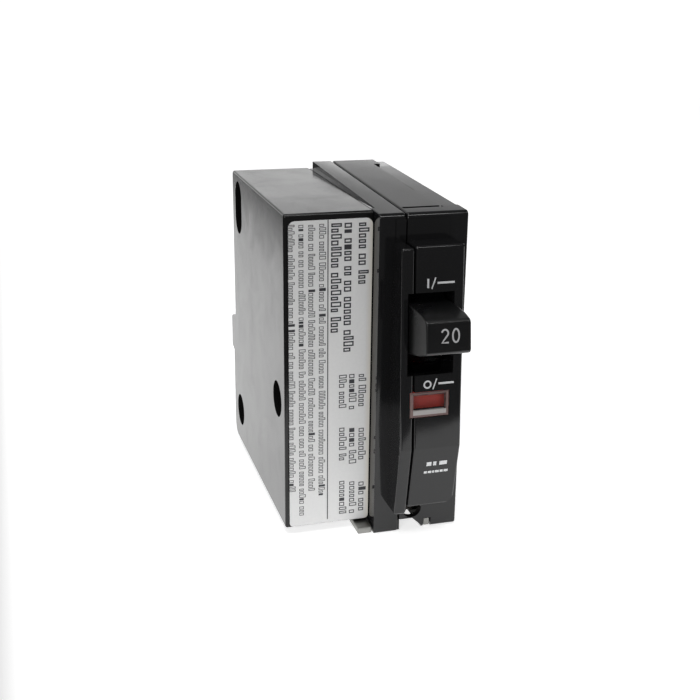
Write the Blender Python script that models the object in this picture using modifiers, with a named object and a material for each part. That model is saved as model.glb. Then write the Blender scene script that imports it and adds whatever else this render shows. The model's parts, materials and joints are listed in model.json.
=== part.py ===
"""Single-pole plug-on breaker with a trip flag window and a shunt-trip module on its left.

Design frame, in millimetres: X runs right from the module's left face, Y runs back from the
module's label, Z runs up from the module's underside. world() moves a design point into the
shared frame: metres, Z up, front facing -Y, origin under the middle of the bounding box.
"""
import math

import bmesh
import bpy
from mathutils import Matrix, Vector

for thing in list(bpy.data.objects):
    bpy.data.objects.remove(thing, do_unlink=True)

# Overall sizes, mm
MM = 0.001
GAP = 0.3
WIDTH = 38.1
FRONT_Y = -21.2
BACK_Y = 60.0
FLOOR_Z = -1.8
WALL = 1.6

# Module (left pole space)
MODULE_RIGHT = 18.8
MODULE_FRONT = 0.3
MODULE_BACK = 54.9
MODULE_TOP = 69.7
LID_X = (17.4, 18.6)
LOWER_BACK = 57.6
HOLE_R = 4.0
HOLE_FRONT = (7.3, 27.9)
HOLE_REAR = (49.6, 9.1)
SLOT_MID = (47.7, 61.8)
SLOT_W = 7.4
SLOT_H = 12.6
WELL_DEPTH = 6.0

# Breaker case
CASE_LEFT = 18.9
HOLLOW_LEFT = 21.1
SEAM = 24.6
CASE_FRONT = -3.97
CASE_BACK = 52.9
CASE_BOTTOM = -1.5
LEG_BOTTOM = -1.8
TOP_FRONT = 69.67
TOP_BACK = 71.45
BOSS_LEFT = 21.8
BOSS_RIGHT = 35.2
BOSS_TOP = 64.15
BOSS_TOP_LEFT = 63.8
BOSS_BOTTOM = 6.4
BOSS_BOTTOM_LEFT = 4.9
BOSS_BEND = (-12.0, 21.1)
BOSS_FRONT_TOP = -9.77
BOSS_FRONT_LOW = -9.0
SLOT_X = (23.1, 33.1)
SLOT_Z = (37.3, 54.6)
WINDOW_X = (24.0, 32.1)
WINDOW_Z = (28.4, 33.4)

# Mechanism, all points are (Y, Z)
HANDLE_X = (23.4, 32.8)
HANDLE_PIVOT = (1.0, 45.6)
HUB_R = 9.6
ARM_PIVOT = (14.0, 45.6)
ARM_LENGTH = 18.9
ARM_REST = math.radians(26.0)
ARM_CLOSED = math.radians(37.5)
TRIP_PIVOT = (20.0, 30.0)
ARMATURE_PIVOT = (33.4, 38.0)
SCREW_AT = (27.6, 3.4)
CRANK_PIVOT = (28.5, 22.0)
DRIVE_PIN = (28.5, 29.5)
COIL_AT = (9.5, 16.0)
PLUNGER_FOOT = 20.0
SPRING_LOW = 27.3
SPRING_HIGH = 33.7

COLOURS = {
    "case": ((0.018, 0.018, 0.019), 0.0, 0.42),
    "handle": ((0.014, 0.014, 0.015), 0.0, 0.38),
    "red": ((0.55, 0.035, 0.022), 0.0, 0.45),
    "clear": ((0.85, 0.80, 0.80), 0.0, 0.08),
    "label": ((0.72, 0.72, 0.70), 0.0, 0.5),
    "steel": ((0.52, 0.52, 0.53), 1.0, 0.32),
    "zinc": ((0.62, 0.62, 0.60), 1.0, 0.28),
    "copper": ((0.78, 0.38, 0.22), 1.0, 0.3),
    "silver": ((0.86, 0.85, 0.82), 1.0, 0.25),
    "brass": ((0.72, 0.54, 0.24), 1.0, 0.3),
    "bobbin": ((0.62, 0.60, 0.54), 0.0, 0.5),
    "winding": ((0.45, 0.16, 0.07), 0.6, 0.35),
    "fibre": ((0.36, 0.20, 0.13), 0.0, 0.7),
}


def collection(name):
    group = bpy.data.collections.new(name)
    bpy.context.scene.collection.children.link(group)
    return group


PARTS = collection("breaker_with_shunt_trip")
CUTTERS = collection("cutters")


def material(slot):
    found = bpy.data.materials.get(slot)
    if found:
        return found
    colour, metallic, roughness = COLOURS[slot]
    made = bpy.data.materials.new(slot)
    made.use_nodes = True
    shader = made.node_tree.nodes["Principled BSDF"]
    shader.inputs["Base Color"].default_value = (*colour, 1.0)
    shader.inputs["Metallic"].default_value = metallic
    shader.inputs["Roughness"].default_value = roughness
    made.diffuse_color = (*colour, 1.0)
    return made


def world(x, y, z):
    return Vector(((x - WIDTH / 2) * MM, (y - (FRONT_Y + BACK_Y) / 2) * MM, (z - FLOOR_Z) * MM))


def axis_point(axis, along, a, b):
    """X prisms take (Y, Z) outlines, Y prisms (X, Z) and Z prisms (X, Y)."""
    if axis == "X":
        return world(along, a, b)
    if axis == "Y":
        return world(a, along, b)
    return world(a, b, along)


def finish(name, bm, slot, origin=None, smooth=False):
    """Turn a bmesh into a named object; slot None makes it a cutter."""
    bmesh.ops.recalc_face_normals(bm, faces=bm.faces)
    for face in bm.faces:
        face.smooth = smooth
    shift = world(*origin) if origin else Vector((0.0, 0.0, 0.0))
    bmesh.ops.translate(bm, verts=bm.verts, vec=-shift)
    mesh = bpy.data.meshes.new(name)
    bm.to_mesh(mesh)
    bm.free()
    obj = bpy.data.objects.new(name, mesh)
    obj.location = shift
    if slot is None:
        CUTTERS.objects.link(obj)
        obj.hide_render = True
        obj.display_type = "WIRE"
    else:
        PARTS.objects.link(obj)
        mesh.materials.append(material(slot))
    return obj


def prism_mesh(bm, outline, low, high, axis="X"):
    bottom = [bm.verts.new(axis_point(axis, low, a, b)) for a, b in outline]
    top = [bm.verts.new(axis_point(axis, high, a, b)) for a, b in outline]
    bm.faces.new(bottom)
    bm.faces.new(list(reversed(top)))
    count = len(outline)
    for i in range(count):
        j = (i + 1) % count
        bm.faces.new((bottom[i], top[i], top[j], bottom[j]))


def prism(name, outline, low, high, slot, axis="X", origin=None):
    bm = bmesh.new()
    prism_mesh(bm, outline, low, high, axis)
    return finish(name, bm, slot, origin)


def rectangle(a0, a1, b0, b1):
    return [(a0, b0), (a1, b0), (a1, b1), (a0, b1)]


def box(name, xs, ys, zs, slot, origin=None):
    return prism(name, rectangle(ys[0], ys[1], zs[0], zs[1]), xs[0], xs[1], slot, "X", origin)


def arc(centre, radius, start, stop, steps):
    points = []
    for i in range(steps + 1):
        turn = math.radians(start + (stop - start) * i / steps)
        points.append((centre[0] + radius * math.cos(turn), centre[1] + radius * math.sin(turn)))
    return points


def rounded(corners, steps=5):
    """Outline with each corner (a, b, radius) replaced by an arc; radius 0 stays sharp."""
    points = []
    count = len(corners)
    for i, (a, b, radius) in enumerate(corners):
        here = Vector((a, b))
        if radius <= 0:
            points.append((a, b))
            continue
        before = (Vector(corners[i - 1][:2]) - here).normalized()
        after = (Vector(corners[(i + 1) % count][:2]) - here).normalized()
        half = before.angle(after) / 2
        reach = radius / math.tan(half)
        centre = here + (before + after).normalized() * (radius / math.sin(half))
        first = here + before * reach - centre
        last = here + after * reach - centre
        for k in range(steps + 1):
            mixed = first.slerp(last, k / steps) if k not in (0, steps) else (first, last)[k == steps]
            spot = centre + mixed.normalized() * radius
            points.append((spot.x, spot.y))
    return points


def offset_corners(corners, inset):
    """Move every side of a cornered outline inwards and shrink or grow its corner arcs to match."""
    count = len(corners)
    area = 0.0
    for i in range(count):
        a, b = corners[i], corners[(i + 1) % count]
        area += a[0] * b[1] - b[0] * a[1]
    turn = 1.0 if area > 0 else -1.0
    moved = []
    for i, (a, b, radius) in enumerate(corners):
        here = Vector((a, b))
        came = (here - Vector(corners[i - 1][:2])).normalized()
        goes = (Vector(corners[(i + 1) % count][:2]) - here).normalized()
        first = Vector((-came.y, came.x)) * turn
        second = Vector((-goes.y, goes.x)) * turn
        middle = (first + second).normalized()
        spot = here + middle * (inset / max(0.2, middle.dot(first)))
        bends_in = (came.x * goes.y - came.y * goes.x) * turn > 0
        size = 0.0
        if radius > 0:
            size = max(0.03, radius - inset) if bends_in else radius + inset
        moved.append((spot.x, spot.y, size))
    return moved


def soft_prism(name, corners, low, high, edge, slot, axis="X", far=None, steps=5):
    """Prism whose end faces have rounded rims: edge at the low end, far (or edge) at the high."""
    far = edge if far is None else far
    bm = bmesh.new()
    levels = [(low, edge), (low + 0.3 * edge, 0.3 * edge), (low + edge, 0.0)]
    levels += [(high - far, 0.0), (high - 0.3 * far, 0.3 * far), (high, far)]
    rings = []
    for along, inset in levels:
        outline = rounded(offset_corners(corners, inset), steps)
        rings.append([bm.verts.new(axis_point(axis, along, a, b)) for a, b in outline])
    bm.faces.new(rings[0])
    bm.faces.new(list(reversed(rings[-1])))
    count = len(rings[0])
    for one, two in zip(rings, rings[1:]):
        for i in range(count):
            j = (i + 1) % count
            bm.faces.new((one[i], two[i], two[j], one[j]))
    return finish(name, bm, slot)


def ribbon(path, thickness):
    """Outline of a bent strip that follows path at its middle."""
    left = []
    right = []
    count = len(path)
    for i in range(count):
        here = Vector(path[i])
        sides = []
        if i > 0:
            sides.append((here - Vector(path[i - 1])).normalized())
        if i < count - 1:
            sides.append((Vector(path[i + 1]) - here).normalized())
        run = sum(sides, Vector((0.0, 0.0))).normalized()
        across = Vector((-run.y, run.x))
        half = thickness / 2 / max(0.3, across.dot(Vector((-sides[0].y, sides[0].x))))
        left.append(tuple(here + across * half))
        right.append(tuple(here - across * half))
    return left + right[::-1]


def cylinder(name, axis, at, low, high, radius, slot, sides=24, origin=None, top_radius=None):
    """Round bar along axis from low to high; at is the centre in the other two directions."""
    bm = bmesh.new()
    upper = radius if top_radius is None else top_radius
    rings = []
    for along, r in ((low, radius), (high, upper)):
        circle = arc(at, r, 0, 360 - 360 / sides, sides - 1)
        rings.append([bm.verts.new(axis_point(axis, along, a, b)) for a, b in circle])
    bm.faces.new(rings[0])
    bm.faces.new(list(reversed(rings[1])))
    for i in range(sides):
        j = (i + 1) % sides
        bm.faces.new((rings[0][i], rings[1][i], rings[1][j], rings[0][j]))
    obj = finish(name, bm, slot, origin)
    for face in obj.data.polygons:
        face.use_smooth = len(face.vertices) == 4
    return obj


def lathe(name, axis, at, profile, slot, sides=32, origin=None):
    """Revolve a closed (radius, along) profile; a radius of 0 makes a point on the axis."""
    bm = bmesh.new()
    rings = []
    for radius, along in profile:
        if radius == 0:
            rings.append([bm.verts.new(axis_point(axis, along, at[0], at[1]))])
            continue
        circle = arc(at, radius, 0, 360 - 360 / sides, sides - 1)
        rings.append([bm.verts.new(axis_point(axis, along, a, b)) for a, b in circle])
    count = len(rings)
    for k in range(count):
        one = rings[k]
        two = rings[(k + 1) % count]
        if len(one) == 1 and len(two) == 1:
            continue
        for i in range(sides):
            j = (i + 1) % sides
            if len(one) == 1:
                bm.faces.new((one[0], two[j], two[i]))
            elif len(two) == 1:
                bm.faces.new((one[i], one[j], two[0]))
            else:
                bm.faces.new((one[i], one[j], two[j], two[i]))
    return finish(name, bm, slot, origin)


def wire(name, points, radius, slot, origin=None):
    """Round wire through design points, as a poly curve with closed ends."""
    curve = bpy.data.curves.new(name, "CURVE")
    curve.dimensions = "3D"
    curve.bevel_depth = radius * MM
    curve.bevel_resolution = 2
    curve.use_fill_caps = True
    spline = curve.splines.new("POLY")
    spline.points.add(len(points) - 1)
    shift = world(*origin) if origin else Vector((0.0, 0.0, 0.0))
    for point, spot in zip(spline.points, points):
        point.co = (*(world(*spot) - shift), 1.0)
    curve.materials.append(material(slot))
    obj = bpy.data.objects.new(name, curve)
    obj.location = shift
    PARTS.objects.link(obj)
    return obj


def boolean(obj, other, operation="DIFFERENCE"):
    step = obj.modifiers.new(operation.lower(), "BOOLEAN")
    step.operation = operation
    step.solver = "EXACT"
    step.object = other


def bevel(obj, width, segments=2, angle=35.0):
    step = obj.modifiers.new("edges", "BEVEL")
    step.width = width * MM
    step.segments = segments
    step.limit_method = "ANGLE"
    step.angle_limit = math.radians(angle)
    step.use_clamp_overlap = True


def turned(point, centre, turn):
    a = point[0] - centre[0]
    b = point[1] - centre[1]
    return (
        centre[0] + a * math.cos(turn) - b * math.sin(turn),
        centre[1] + a * math.sin(turn) + b * math.cos(turn),
    )


# Breaker case -------------------------------------------------------------------------------

def case_corners(bottom):
    """Side view of the case; the front lip is rounded and the top climbs to the back."""
    return [
        (CASE_FRONT, bottom, 0.6),
        (CASE_BACK, bottom, 2.2),
        (CASE_BACK, TOP_BACK, 0.35),
        (CASE_FRONT, TOP_FRONT, 1.1),
    ]


def boss_corners(top, bottom):
    return [
        (0.0, bottom, 0),
        (BOSS_FRONT_LOW, bottom, 0.6),
        BOSS_BEND + (1.5,),
        (BOSS_FRONT_TOP, top, 0.6),
        (0.0, top, 0),
    ]


def boss(name, low, high, top, bottom, corner):
    shape = soft_prism(name, boss_corners(top, bottom), low, high, 0.45, None)
    if corner:
        cut = [(high - corner, bottom - 1), (high + 1, bottom - 1), (high + 1, bottom + corner)]
        cut += arc((high - corner, bottom + corner), corner, 0, -90, 7)
        blank = prism(name + "_corner", cut, -20, 0.5, None, "Y")
        boolean(shape, blank)
    return shape


def inner_space(name):
    """Hollow of the case with the hollow behind the raised front."""
    outline = rounded(offset_corners(case_corners(CASE_BOTTOM), WALL))
    main = prism(name, outline, HOLLOW_LEFT, WIDTH - WALL, None)
    front = [(-7.7, 9.2), (-10.3, 21.6), (-8.4, 62.4), (2.0, 62.4), (2.0, 9.2)]
    boolean(main, prism(name + "_front", front, 23.0, 34.0, None), "UNION")
    return main


def case_half(name, low, high, bottom, left_side):
    rim = 0.2 if left_side else 0.35
    obj = soft_prism(name, case_corners(bottom), low, high, rim, "case", far=0.35)
    if left_side:
        front = boss(name + "_boss", BOSS_LEFT, high, BOSS_TOP_LEFT, BOSS_BOTTOM_LEFT, 0.0)
        pad = box(name + "_pad", (22.3, high), (-4.25, 0), (60.0, 68.6), None)
    else:
        front = boss(name + "_boss", low, BOSS_RIGHT, BOSS_TOP, BOSS_BOTTOM, 2.6)
        pad = box(name + "_pad", (low, 33.9), (-4.25, 0), (60.0, 68.6), None)
    boolean(obj, front, "UNION")
    boolean(obj, pad, "UNION")
    boolean(obj, inner_space(name + "_hollow"))
    return obj


def cut_box(obj, label, xs, ys, zs):
    boolean(obj, box(obj.name + "_" + label, xs, ys, zs, None))


def cut_round(obj, label, axis, at, low, high, radius, sides=24):
    boolean(obj, cylinder(obj.name + "_" + label, axis, at, low, high, radius, None, sides))


RIVETS = ((4.0, 64.5), (48.6, 47.5), (18.0, 6.6), (46.6, 24.0))


def shared_openings(obj):
    cut_box(obj, "slot", SLOT_X, (-14, -5), SLOT_Z)
    window_x = (WINDOW_X[0] - GAP, WINDOW_X[1] + GAP)
    cut_box(obj, "window", window_x, (-14, -6), (WINDOW_Z[0] - GAP, WINDOW_Z[1] + GAP))
    cut_box(obj, "hook", (23.4, 34.6), (49, 56), (1.2, 10.2))
    for i, at in enumerate(RIVETS):
        cut_round(obj, "rivet_%d" % i, "X", at, 15, 42, 1.75, 20)


def breaker_cover():
    obj = case_half("breaker_cover", CASE_LEFT, SEAM - GAP / 2, LEG_BOTTOM, True)
    shared_openings(obj)
    # The top is stepped down to the module's height along its left edge.
    cut_box(obj, "step", (18.0, 19.7), (2.0, 56), (69.72, 75))
    boolean(obj, box("breaker_cover_toe", (24.0, 24.95), (-3.5, 5.5), (-1.7, 0.7), None), "UNION")
    cut_box(obj, "pin", (18, 22), (26.8, 32.3), (27.8, 31.2))
    for i, at in enumerate(RIVETS):
        cut_round(obj, "head_%d" % i, "X", at, 18, 20.3, 2.9, 24)


def breaker_base():
    obj = case_half("breaker_base", SEAM + GAP / 2, WIDTH, CASE_BOTTOM, False)
    shared_openings(obj)
    cut_box(obj, "jaw", (25.2, 32.8), (49, 56), (55.6, 68.4))
    notch = [(20.0, 1.0), (27.8, 1.0), (30.0, -1.1), (30.2, -5.0), (20.0, -5.0)]
    boolean(obj, prism("breaker_base_notch", notch, -8, 6, None, "Y"))
    cut_round(obj, "screw", "Y", SCREW_AT, -8, 0, 2.2, 32)
    cut_box(obj, "wire", (24.9, 34.4), (3.4, 13.0), (-5, 1.2))
    cut_box(obj, "tongue", (30.4, 32.2), (-6, 1.0), (-5, 0.6))
    cut_box(obj, "groove", (25.3, 34.1), (0.4, 1.6), (68.9, 75))
    strip = [(1.6, 69.4), (47.0, 70.65), (47.0, 75.0), (1.6, 75.0)]
    boolean(obj, prism("breaker_base_strip", strip, 33.6, 40, None))
    rear = [(46.9, 70.65), (54.0, 70.8), (54.0, 75.0), (46.9, 75.0)]
    boolean(obj, prism("breaker_base_rear", rear, 35.2, 40, None))
    cut_box(obj, "line", (33.62, 33.95), (1.2, 46.7), (68.8, 75))
    cut_box(obj, "slit", (33.4, 34.3), (17.0, 27.5), (68.9, 75))
    for i, at in enumerate(RIVETS):
        cut_round(obj, "head_%d" % i, "X", at, 37.3, 40, 2.9, 24)


def rivets():
    for i, at in enumerate(RIVETS):
        profile = [
            (0, 19.7), (2.2, 19.7), (2.5, 20.0), (1.4, 20.05), (1.4, 37.55),
            (2.5, 37.6), (2.2, 37.9), (0, 37.9),
        ]
        lathe("case_rivet_%d" % (i + 1), "X", at, profile, "steel", 20)


# Handle, flag and window ---------------------------------------------------------------------

def handle():
    paddle = [
        (-6.2, 52.2), (-10.2, 52.3), (-17.1, 52.2), (-19.9, 51.7), (-20.5, 51.0),
        (-21.15, 45.6), (-20.8, 44.9), (-16.4, 43.3), (-10.4, 41.9), (-7.8, 41.7),
    ]
    start = math.degrees(math.atan2(41.7 - HANDLE_PIVOT[1], -7.8 - HANDLE_PIVOT[0])) + 360
    stop = math.degrees(math.atan2(52.2 - HANDLE_PIVOT[1], -6.2 - HANDLE_PIVOT[0])) + 360
    hub = arc(HANDLE_PIVOT, HUB_R, start + 4, stop - 4, 32)
    origin = (28.1, HANDLE_PIVOT[0], HANDLE_PIVOT[1])
    obj = prism("handle", paddle + hub, HANDLE_X[0], HANDLE_X[1], "handle", "X", origin)
    bevel(obj, 0.35)
    cut_round(obj, "bore", "X", HANDLE_PIVOT, 20, 36, 1.65)
    cylinder("handle_pin", "X", HANDLE_PIVOT, 21.4, 36.2, 1.3, "steel")


def trip_flag():
    outline = [(-9.5, 29.5), (3.0, 29.5), (3.0, 30.7), (-8.7, 30.7), (-8.7, 34.6), (-9.5, 34.6)]
    prism("trip_flag", outline, 24.3, 31.9, "red", "X", (28.1, -9.1, 30.1))


def flag_window():
    """Clear lens whose faces follow the slope of the raised front."""
    low, high = WINDOW_Z
    outline = [(-11.75, low), (-10.35, low), (-10.1, high), (-11.5, high)]
    obj = prism("flag_window", outline, WINDOW_X[0], WINDOW_X[1], "clear")
    bevel(obj, 0.2)


# Switching mechanism -------------------------------------------------------------------------

def contact_arm():
    tip = turned((ARM_PIVOT[0] + ARM_LENGTH, ARM_PIVOT[1]), ARM_PIVOT, ARM_REST)
    origin = (28.5, ARM_PIVOT[0], ARM_PIVOT[1])
    flat = [(16.2, 47.1), (34.6, 47.1), (35.0, 46.7), (35.0, 44.5), (34.6, 44.1), (16.2, 44.1)]
    eye = arc(ARM_PIVOT, 2.66, -36, -324, 16)
    outline = [turned(p, ARM_PIVOT, ARM_REST) for p in flat + eye]
    arm = prism("contact_arm", outline, 27.3, 29.7, "copper", "X", origin)
    bevel(arm, 0.2, 1)
    cut_round(arm, "bore", "X", ARM_PIVOT, 25, 32, 1.4)
    cylinder("arm_pin", "X", ARM_PIVOT, 21.4, 36.2, 1.1, "steel")
    contact("moving_contact", tip, ARM_REST, 1.8, 3.0, origin)


def contact(name, spot, lean, near, far, origin=None):
    """Round contact whose axis is square to a bar leaning by lean."""
    away = (-math.sin(lean), math.cos(lean))
    bm = bmesh.new()
    segments = 24
    depth = (far - near) * MM
    middle = (near + far) / 2
    centre = world(28.5, spot[0] + away[0] * middle, spot[1] + away[1] * middle)
    turn = Matrix.Translation(centre) @ Matrix.Rotation(lean, 4, "X")
    bmesh.ops.create_cone(bm, cap_ends=True, segments=segments, radius1=2.1 * MM,
                          radius2=2.1 * MM, depth=depth, matrix=turn)
    obj = finish(name, bm, "silver", origin)
    bevel(obj, 0.2)


def line_side():
    closed = turned((ARM_PIVOT[0] + ARM_LENGTH, ARM_PIVOT[1]), ARM_PIVOT, ARM_CLOSED)
    contact("fixed_contact", closed, ARM_CLOSED, 3.4, 4.6)
    away = (-math.sin(ARM_CLOSED), math.cos(ARM_CLOSED))
    along = (math.cos(ARM_CLOSED), math.sin(ARM_CLOSED))
    top = (closed[0] + away[0] * 5.5, closed[1] + away[1] * 5.5)
    path = [
        (top[0] - along[0] * 3.2, top[1] - along[1] * 3.2),
        (top[0] + along[0] * 3.4, top[1] + along[1] * 3.4),
        (35.0, 63.4),
        (42.6, 63.4),
    ]
    strap = prism("line_strap", ribbon(path, 1.2), 26.4, 30.6, "copper")
    bevel(strap, 0.15, 1)
    outer = [(26.9, 52.4), (26.9, 44.2), (27.9, 43.0), (30.1, 43.0), (31.1, 44.2), (31.1, 52.4)]
    inner = [(30.3, 52.4), (29.9, 50.6), (29.9, 45.0), (28.1, 45.0), (28.1, 50.6), (27.7, 52.4)]
    jaw = prism("line_jaw", outer + inner, 57.4, 66.6, "copper", "Z")
    bevel(jaw, 0.12, 1)
    clip = [(25.9, 51.4), (25.9, 43.4), (26.3, 42.9), (26.6, 43.2), (26.6, 51.4)]
    hook = [(31.4, 51.4), (31.4, 43.2), (31.7, 42.9), (32.1, 43.4), (32.1, 51.4)]
    prism("jaw_spring_left", clip, 58.6, 65.4, "steel", "Z")
    prism("jaw_spring_right", hook, 58.6, 65.4, "steel", "Z")


def arc_chamber():
    shell = [
        (24.5, 36.2), (24.5, 45.6), (33.9, 45.6), (33.9, 36.2), (33.3, 36.2), (33.3, 45.0),
        (25.1, 45.0), (25.1, 36.2),
    ]
    prism("arc_chamber", shell, 44.6, 57.0, "fibre", "Z")
    plate = [
        (25.5, 36.6), (25.5, 44.6), (32.9, 44.6), (32.9, 36.6), (31.0, 36.6), (29.2, 40.6),
        (27.4, 36.6),
    ]
    for i in range(4):
        low = 46.0 + 2.9 * i
        prism("arc_plate_%d" % (i + 1), plate, low, low + 1.0, "steel", "Z")


def trip_lever():
    outline = [(20.0, 32.9), (28.0, 29.4), (31.6, 28.3), (32.1, 26.6), (28.0, 26.7), (21.4, 27.2)]
    outline += arc(TRIP_PIVOT, 2.9, 300, 180, 8)[1:]
    outline += [(15.4, 34.8), (14.2, 37.0), (16.0, 37.6), (17.6, 35.6)]
    origin = (29.3, TRIP_PIVOT[0], TRIP_PIVOT[1])
    lever = prism("trip_lever", outline, 28.3, 30.3, "zinc", "X", origin)
    bevel(lever, 0.15, 1)
    cut_round(lever, "bore", "X", TRIP_PIVOT, 26, 33, 1.4)
    cylinder("trip_lever_pin", "X", TRIP_PIVOT, 21.4, 36.2, 1.1, "steel")


def toggle_spring():
    """Tension spring beside the arm, drawn as one long coil with straight tails."""
    start = Vector((25.5, 15.5, 38.0))
    end = Vector((25.5, 25.0, 49.0))
    run = (end - start).normalized()
    side = Vector((1.0, 0.0, 0.0))
    up = run.cross(side)
    turns = 11
    steps = 12
    length = (end - start).length
    points = []
    for i in range(turns * steps + 1):
        turn = 2 * math.pi * i / steps
        along = 1.5 + (length - 3.0) * i / (turns * steps)
        spot = start + run * along + side * math.cos(turn) + up * math.sin(turn)
        points.append(tuple(spot))
    points.insert(0, tuple(start))
    points.append(tuple(end))
    wire("toggle_spring", points, 0.28, "steel", (28.5, ARM_PIVOT[0], ARM_PIVOT[1]))


def thermal_magnetic():
    strip = box("bimetal", (26.6, 31.4), (37.3, 38.3), (14.3, 42.0), "zinc")
    bevel(strip, 0.1, 1)
    channel = [
        (24.9, 35.2), (24.9, 40.0), (33.1, 40.0), (33.1, 35.2), (31.8, 35.2), (31.8, 38.7),
        (26.2, 38.7), (26.2, 35.2),
    ]
    yoke = prism("magnet_yoke", channel, 20.0, 33.0, "steel", "Z")
    bevel(yoke, 0.15, 1)
    plate = rounded([(32.8, 19.0, 0), (34.0, 19.0, 0), (34.0, 39.4, 0.5), (32.8, 39.4, 0.5)])
    origin = (29.0, ARMATURE_PIVOT[0], ARMATURE_PIVOT[1])
    prism("armature", plate, 25.0, 33.0, "steel", "X", origin)
    points = []
    corners = [(31.9, 37.9, 43.7), (31.9, 33.0, 43.0), (31.9, 28.0, 42.2), (31.4, 23.0, 45.0),
               (31.2, 20.6, 48.3)]
    for i in range(len(corners) - 1):
        for k in range(5):
            points.append(tuple(Vector(corners[i]).lerp(Vector(corners[i + 1]), k / 5)))
    points.append(corners[-1])
    wire("braid", points, 0.9, "copper")


def load_side():
    path = [(10.0, 1.6), (10.0, 10.6), (12.2, 12.9), (39.6, 12.9)]
    strap = prism("load_strap", ribbon(path, 1.4), 25.2, 34.0, "zinc")
    cut_round(strap, "bore", "Y", SCREW_AT, 5, 12, 1.75)
    plate = rounded([(25.3, 1.4, 0.4), (33.6, 1.4, 0.4), (33.6, 10.8, 0.4), (25.3, 10.8, 0.4)])
    origin = (SCREW_AT[0], 3.2, SCREW_AT[1])
    clamp = prism("clamp_plate", plate, 2.4, 3.9, "zinc", "Y", origin)
    cut_round(clamp, "bore", "Y", SCREW_AT, 0, 8, 1.75)
    profile = [
        (0, -1.3), (1.7, -1.3), (2.05, -1.0), (2.05, 0.7), (1.4, 0.8), (1.4, 12.6),
        (1.1, 13.0), (0, 13.0),
    ]
    origin = (SCREW_AT[0], 0.0, SCREW_AT[1])
    screw = lathe("terminal_screw", "Y", SCREW_AT, profile, "zinc", 28, origin)
    x, z = SCREW_AT
    cut_box(screw, "drive", (x - 0.35, x + 0.35), (-5, -0.4), (z - 4, z + 4))
    box("lug_tongue", (30.7, 31.9), (-3.6, 0.6), (-1.3, 0.3), "zinc")
    cylinder("calibration_screw", "Z", (29.3, 35.6), 2.2, 11.9, 1.6, "brass", 20)


def rail_hook():
    path = [(44.0, 3.2), (54.6, 3.2), (56.6, 5.0), (56.6, 9.4)]
    obj = prism("rail_hook", ribbon(path, 1.3), 23.8, 34.2, "steel")
    bevel(obj, 0.15, 1)


# Shunt-trip module ----------------------------------------------------------------------------

def module_corners():
    return [
        (MODULE_FRONT, 0.0, 0.5),
        (LOWER_BACK, 0.0, 3.4),
        (LOWER_BACK, 22.6, 0),
        (BACK_Y, 23.2, 0.5),
        (BACK_Y, 31.6, 0.5),
        (MODULE_BACK, 33.0, 0),
        (MODULE_BACK, MODULE_TOP, 0.8),
        (MODULE_FRONT, MODULE_TOP, 0.7),
    ]


def module_hollow():
    return [
        (MODULE_FRONT + WALL, WALL, 0.6),
        (LOWER_BACK - WALL, WALL, 2.0),
        (LOWER_BACK - WALL, 22.0, 0),
        (MODULE_BACK - WALL, 23.5, 0),
        (MODULE_BACK - WALL, MODULE_TOP - WALL, 0.6),
        (MODULE_FRONT + WALL, MODULE_TOP - WALL, 0.6),
    ]


def obround(centre, width, height):
    half = (height - width) / 2
    top = arc((centre[0], centre[1] + half), width / 2, 0, 180, 12)
    low = arc((centre[0], centre[1] - half), width / 2, 180, 360, 12)
    return top + low


def module_case():
    obj = soft_prism("module_case", module_corners(), 0.0, MODULE_RIGHT, 0.45, "case", far=0.1)
    boolean(obj, prism("module_hollow", rounded(module_hollow()), WALL, 30, None))
    for i, at in enumerate((HOLE_FRONT, HOLE_REAR)):
        well = cylinder("module_well_%d" % i, "X", at, 0.8, WELL_DEPTH + WALL, HOLE_R + 1.0, None, 36)
        boolean(obj, well, "UNION")
        boolean(obj, cylinder("module_hole_%d" % i, "X", at, -1, WELL_DEPTH, HOLE_R, None, 36))
    pocket = prism("module_pocket", obround(SLOT_MID, SLOT_W + 2, SLOT_H + 2), 0.8, 6.6, None)
    boolean(obj, pocket, "UNION")
    boolean(obj, prism("module_slot", obround(SLOT_MID, SLOT_W, SLOT_H), -1, 5.0, None))
    return obj


def module_cover():
    """Flat lid let into the open right side of the module case."""
    outline = rounded(offset_corners(module_hollow(), GAP))
    obj = prism("module_cover", outline, LID_X[0], LID_X[1], "case")
    cut_box(obj, "pin", (16, 21), (26.8, 32.3), (27.8, 31.2))
    for i, at in enumerate(MODULE_RIVETS):
        cut_round(obj, "rivet_%d" % i, "X", at, 15, 21, 1.6, 20)


MODULE_RIVETS = ((30.0, 65.0), (30.0, 4.6))


def module_rivets():
    for i, at in enumerate(MODULE_RIVETS):
        profile = [(0, 2.4), (1.3, 2.4), (1.3, 17.9), (1.1, 18.4), (0, 18.4)]
        lathe("module_rivet_%d" % (i + 1), "X", at, profile, "steel", 20)


def module_outside():
    outline = rounded([(0.9, 0.4, 0.8), (18.7, 0.4, 0.8), (18.7, 68.3, 1.4), (0.9, 68.3, 1.4)])
    prism("module_label", outline, 0.0, 0.15, "label", "Y")
    strap = box("foot_strap", (15.5, 18.7), (-3.2, 50.0), (FLOOR_Z, -0.3), "zinc")
    bevel(strap, 0.2, 1)


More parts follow.
